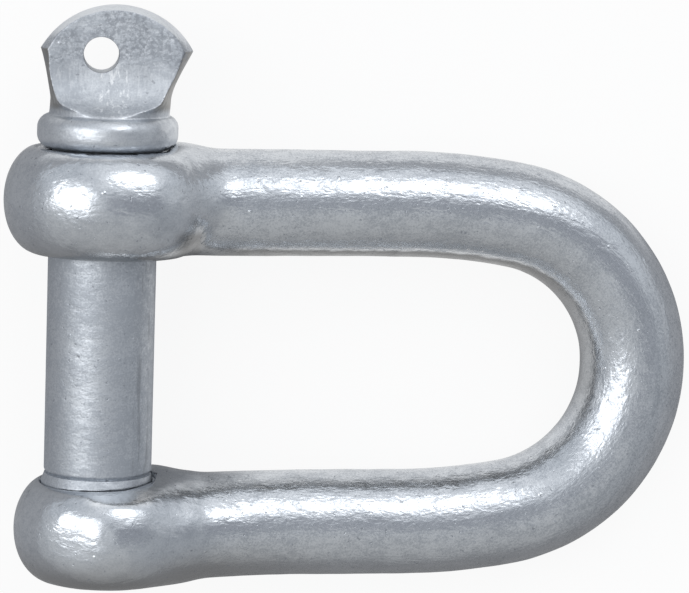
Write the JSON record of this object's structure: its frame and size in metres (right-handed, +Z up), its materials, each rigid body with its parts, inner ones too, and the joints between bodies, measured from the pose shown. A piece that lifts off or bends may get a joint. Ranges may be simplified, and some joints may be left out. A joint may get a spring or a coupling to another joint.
{
  "type": "screw pin chain shackle",
  "caption": "Galvanised D-shaped chain shackle: a round-bar bow with a plain and a tapped eye, closed by a collared screw pin with a flat drilled tab.",
  "frame": {"origin": "on the pin axis, in the middle of the jaw", "axes": "+Y along the pin towards its head, +X from the pin towards the crown, +Z up from the surface that the shackle lies on"},
  "size_m": [0.0784, 0.0648, 0.0222],
  "materials": {
    "bow_zinc": "bright galvanised, slightly rough and mottled",
    "pin_zinc": "bright galvanised, slightly rough"
  },
  "bodies": {
    "bow": {"bow": "bow_zinc"},
    "screw_pin": {"screw_pin": "pin_zinc"}
  },
  "joints": [
    {"name": "pin_draw", "type": "slide", "parent": "bow", "child": "screw_pin", "axis": [0, 1, 0], "range_m": [0, 0.05]}
  ]
}
